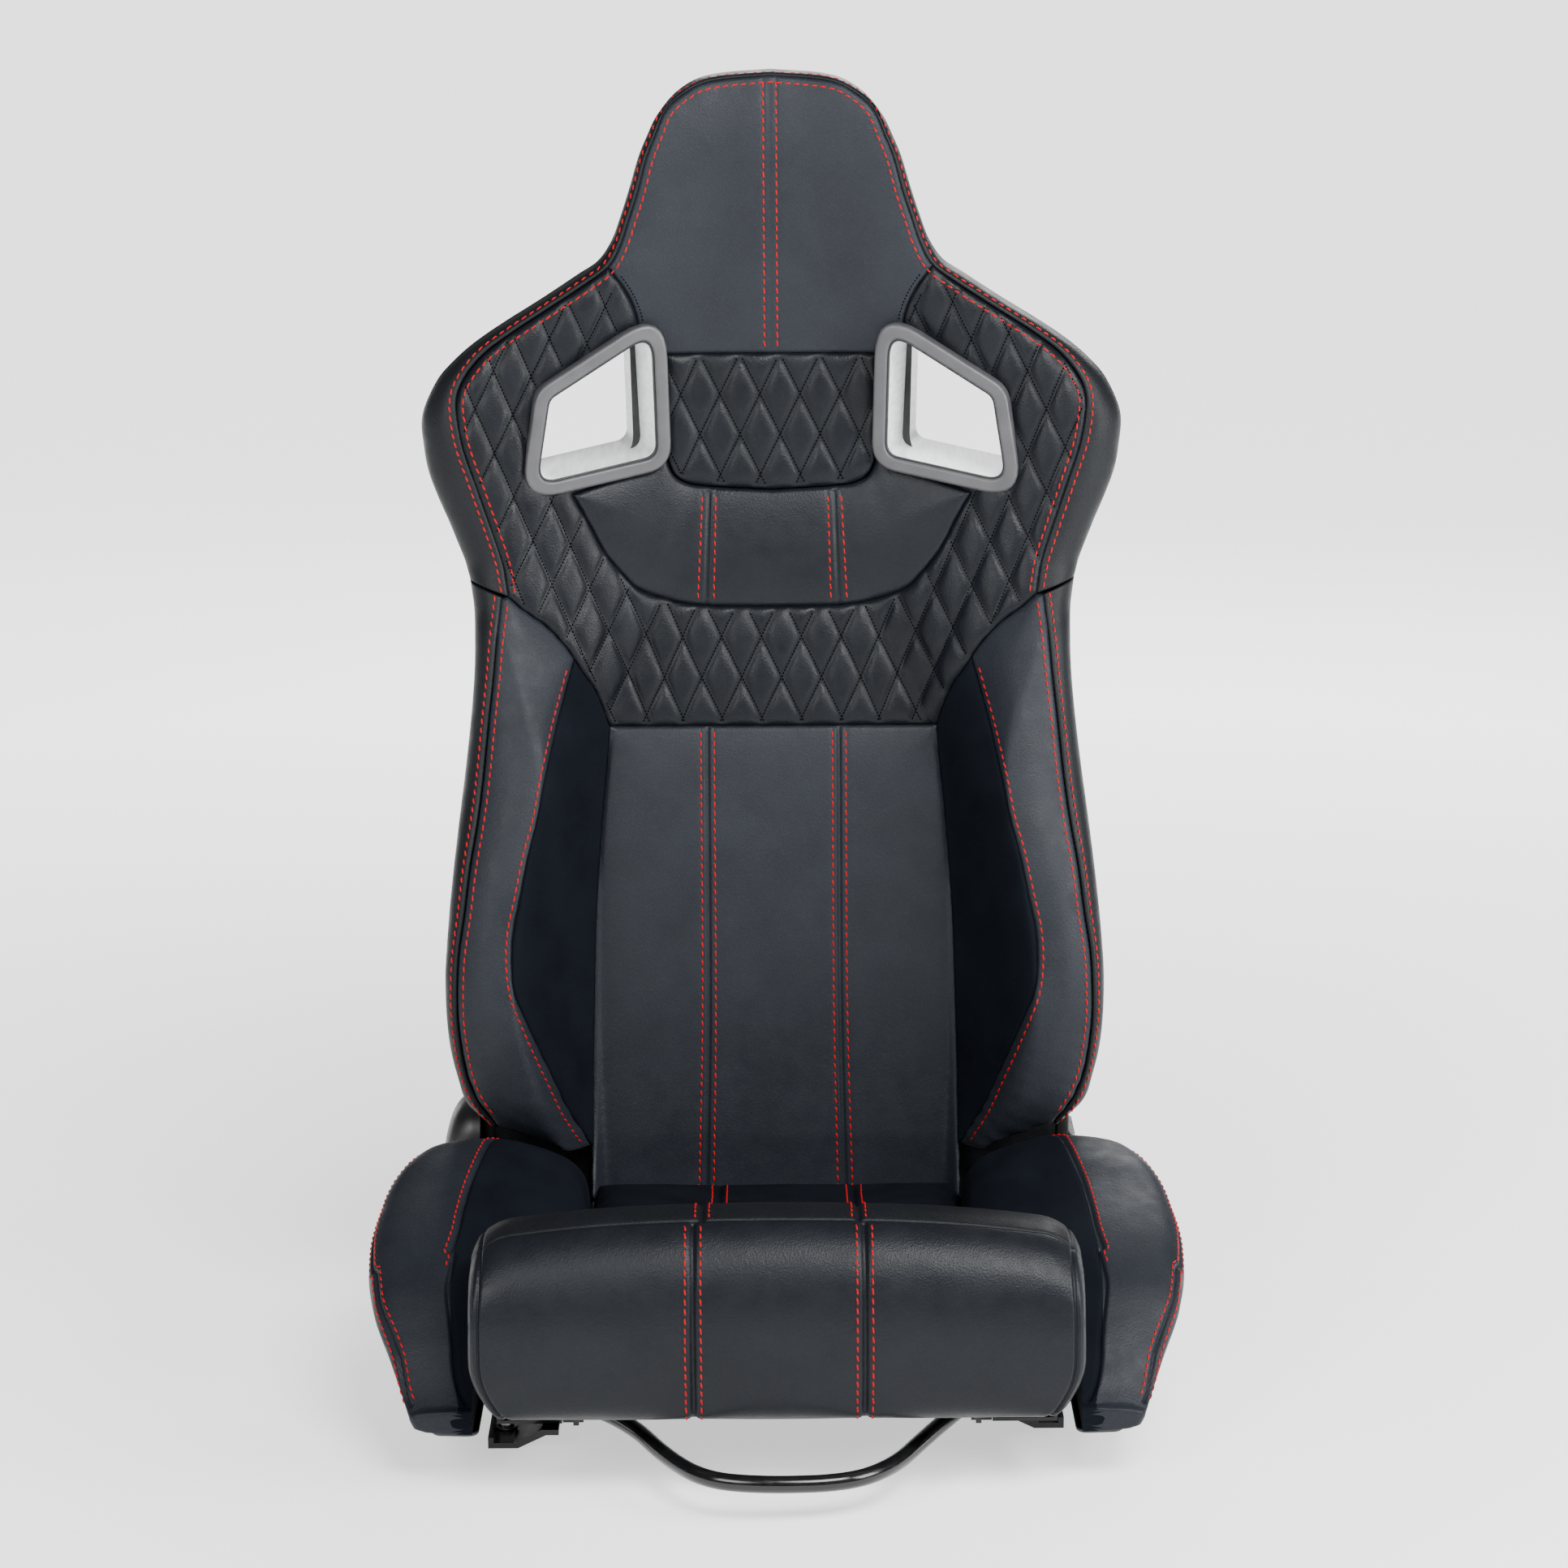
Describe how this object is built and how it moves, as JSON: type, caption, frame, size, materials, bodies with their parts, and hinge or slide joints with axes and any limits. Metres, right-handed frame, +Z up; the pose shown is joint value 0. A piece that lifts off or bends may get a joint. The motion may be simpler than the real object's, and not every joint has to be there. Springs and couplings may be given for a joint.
{
  "type": "reclining racing seat",
  "caption": "Reclining bucket seat with quilted leather wings, harness holes, side bolsters, slide rails, a lift bar and a recline lever.",
  "frame": {"origin": "on the floor under the middle of the whole seat", "axes": "+Z up, -Y the way the seat faces, +X the sitter's left"},
  "size_m": [0.582, 0.579, 0.9348],
  "materials": {
    "smooth_leather": "fine-grained satin leather",
    "quilted_leather": "fine-grained leather, diamond quilted",
    "red_thread": "heavy twisted thread",
    "black_thread": "fine twisted thread",
    "rear_shell": "grained moulded shell",
    "bezel_grey": "satin grey moulding",
    "sleeve_grey": "brushed sleeve",
    "black_plastic": "fine-textured moulding",
    "black_metal": "gloss black coating",
    "steel": "zinc plated"
  },
  "bodies": {
    "floor_rails": {"lower_rail_left": "black_metal", "lower_rail_right": "black_metal", "front_foot_left": "black_metal", "front_foot_right": "black_metal", "rear_foot_left": "black_metal", "rear_foot_right": "black_metal", "lock_strip_left": "steel", "lock_strip_right": "steel"},
    "seat": {"upper_rail_left": "black_metal", "upper_rail_right": "black_metal", "roller_cage_left": "black_plastic", "roller_cage_right": "black_plastic", "recliner_bracket_left": "black_metal", "recliner_bracket_right": "black_metal", "seat_bolster_left": "smooth_leather", "seat_bolster_right": "smooth_leather", "bar_pivot_pin_left": "steel", "bar_pivot_pin_right": "steel", "seat_pan": "black_metal", "seat_cushion": "smooth_leather", "thigh_roll": "smooth_leather", "recliner_cover": "black_plastic", "pivot_cap": "black_plastic", "recline_spring": "steel"},
    "back": {"back_frame": "black_metal", "shoulder_crossbar": "black_metal", "lower_crossbar": "black_metal", "rear_shell": "rear_shell", "head_pad": "smooth_leather", "upper_panel": "quilted_leather", "bib_pad": "smooth_leather", "quilt_band": "quilted_leather", "centre_pad": "smooth_leather", "recliner_arm_left": "black_metal", "recliner_arm_right": "black_metal", "wing_pad_left": "quilted_leather", "wing_pad_right": "quilted_leather", "back_bolster_left": "smooth_leather", "back_bolster_right": "smooth_leather", "harness_bezel_left": "bezel_grey", "harness_bezel_right": "bezel_grey", "harness_sleeve_left": "sleeve_grey", "harness_sleeve_right": "sleeve_grey"},
    "slide_bar": {"towel_bar": "black_metal", "latch_pawl_left": "steel", "latch_pawl_right": "steel"},
    "recline_handle": {"release_shaft": "steel", "recline_lever": "black_plastic"}
  },
  "joints": [
    {"name": "slide", "type": "slide", "parent": "floor_rails", "child": "seat", "axis": [0, -1, 0], "range_m": [-0.1, 0.1]},
    {"name": "recline", "type": "hinge", "parent": "seat", "child": "back", "pos_m": [0, 0.128, 0.115], "axis": [-1, 0, 0], "range_deg": [-2, 70]},
    {"name": "slide_bar_lift", "type": "hinge", "parent": "seat", "child": "slide_bar", "pos_m": [0, -0.11, 0.029], "axis": [-1, 0, 0], "range_deg": [0, 8], "stiffness_Nm_per_rad": 1.2, "springref_deg": -17.19},
    {"name": "recline_lever_lift", "type": "hinge", "parent": "seat", "child": "recline_handle", "pos_m": [-0.26, 0.128, 0.115], "axis": [-1, 0, 0], "range_deg": [0, 22], "stiffness_Nm_per_rad": 0.8, "springref_deg": -20.05}
  ]
}
